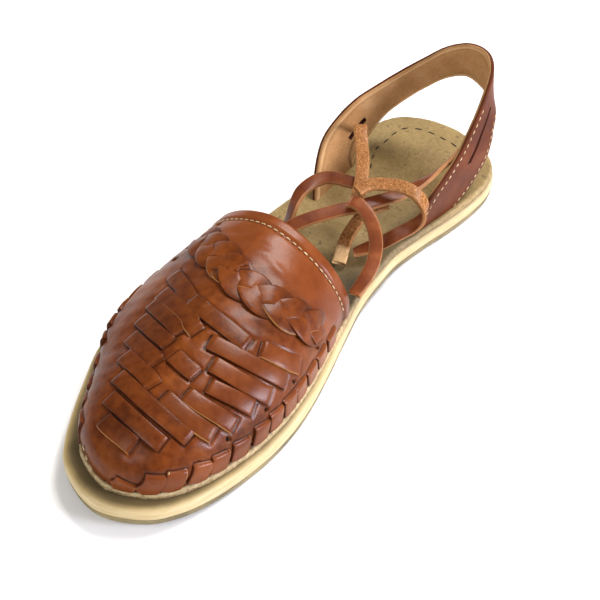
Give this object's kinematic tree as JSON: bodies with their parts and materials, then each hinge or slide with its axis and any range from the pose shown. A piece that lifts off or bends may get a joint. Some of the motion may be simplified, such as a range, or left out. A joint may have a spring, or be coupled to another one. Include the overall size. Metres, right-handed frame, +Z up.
{
  "type": "huarache sandal",
  "caption": "Flat leather sandal with a woven closed toe, a braid over the instep, a raised heel strap threaded through the insole, and a thong laced between them.",
  "frame": {"origin": "on the floor, under the middle of the sole's length and width", "axes": "+Z up, the toe points to -Y, +X is the wearer's inner side"},
  "size_m": [0.0854, 0.245, 0.0655],
  "materials": {
    "sole_bottom": "matte",
    "sole_edge": "satin",
    "insole": "matte",
    "upper": "satin",
    "strap": "satin",
    "thong": "matte"
  },
  "bodies": {
    "root": {"outsole": "sole_bottom", "midsole": "sole_edge", "insole": "insole", "vamp": "upper", "heel_strap": "strap", "lace_bars": "thong", "lace_loop": "thong", "lace_end_inner": "thong", "lace_end_outer": "thong", "lace_end_cut": "thong"}
  },
  "joints": []
}
